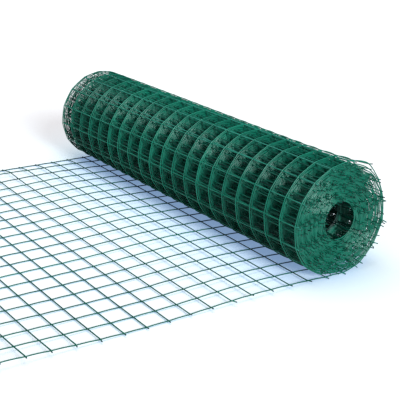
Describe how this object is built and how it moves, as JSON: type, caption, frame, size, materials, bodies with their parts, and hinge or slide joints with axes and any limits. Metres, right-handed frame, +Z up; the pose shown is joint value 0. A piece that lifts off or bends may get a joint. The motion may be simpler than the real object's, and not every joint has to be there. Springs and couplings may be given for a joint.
{
  "type": "roll of plastic-coated welded wire mesh",
  "caption": "Roll of plastic-coated welded wire fence mesh with an open bore, lying down with its loose end unrolled flat on the floor.",
  "frame": {"origin": "middle of the roll's open bore, on the roll's axis and halfway along it", "axes": "+Y along the roll's axis, +Z up, -X the way the unrolled sheet leads off, 1.2 degrees out of square; the floor is at z = -0.1262"},
  "size_m": [1.1202, 1.0443, 0.2524],
  "materials": {
    "wire_coat": "satin"
  },
  "bodies": {
    "root": {"wound_roll": "wire_coat", "unrolled_mesh": "wire_coat"}
  },
  "joints": []
}
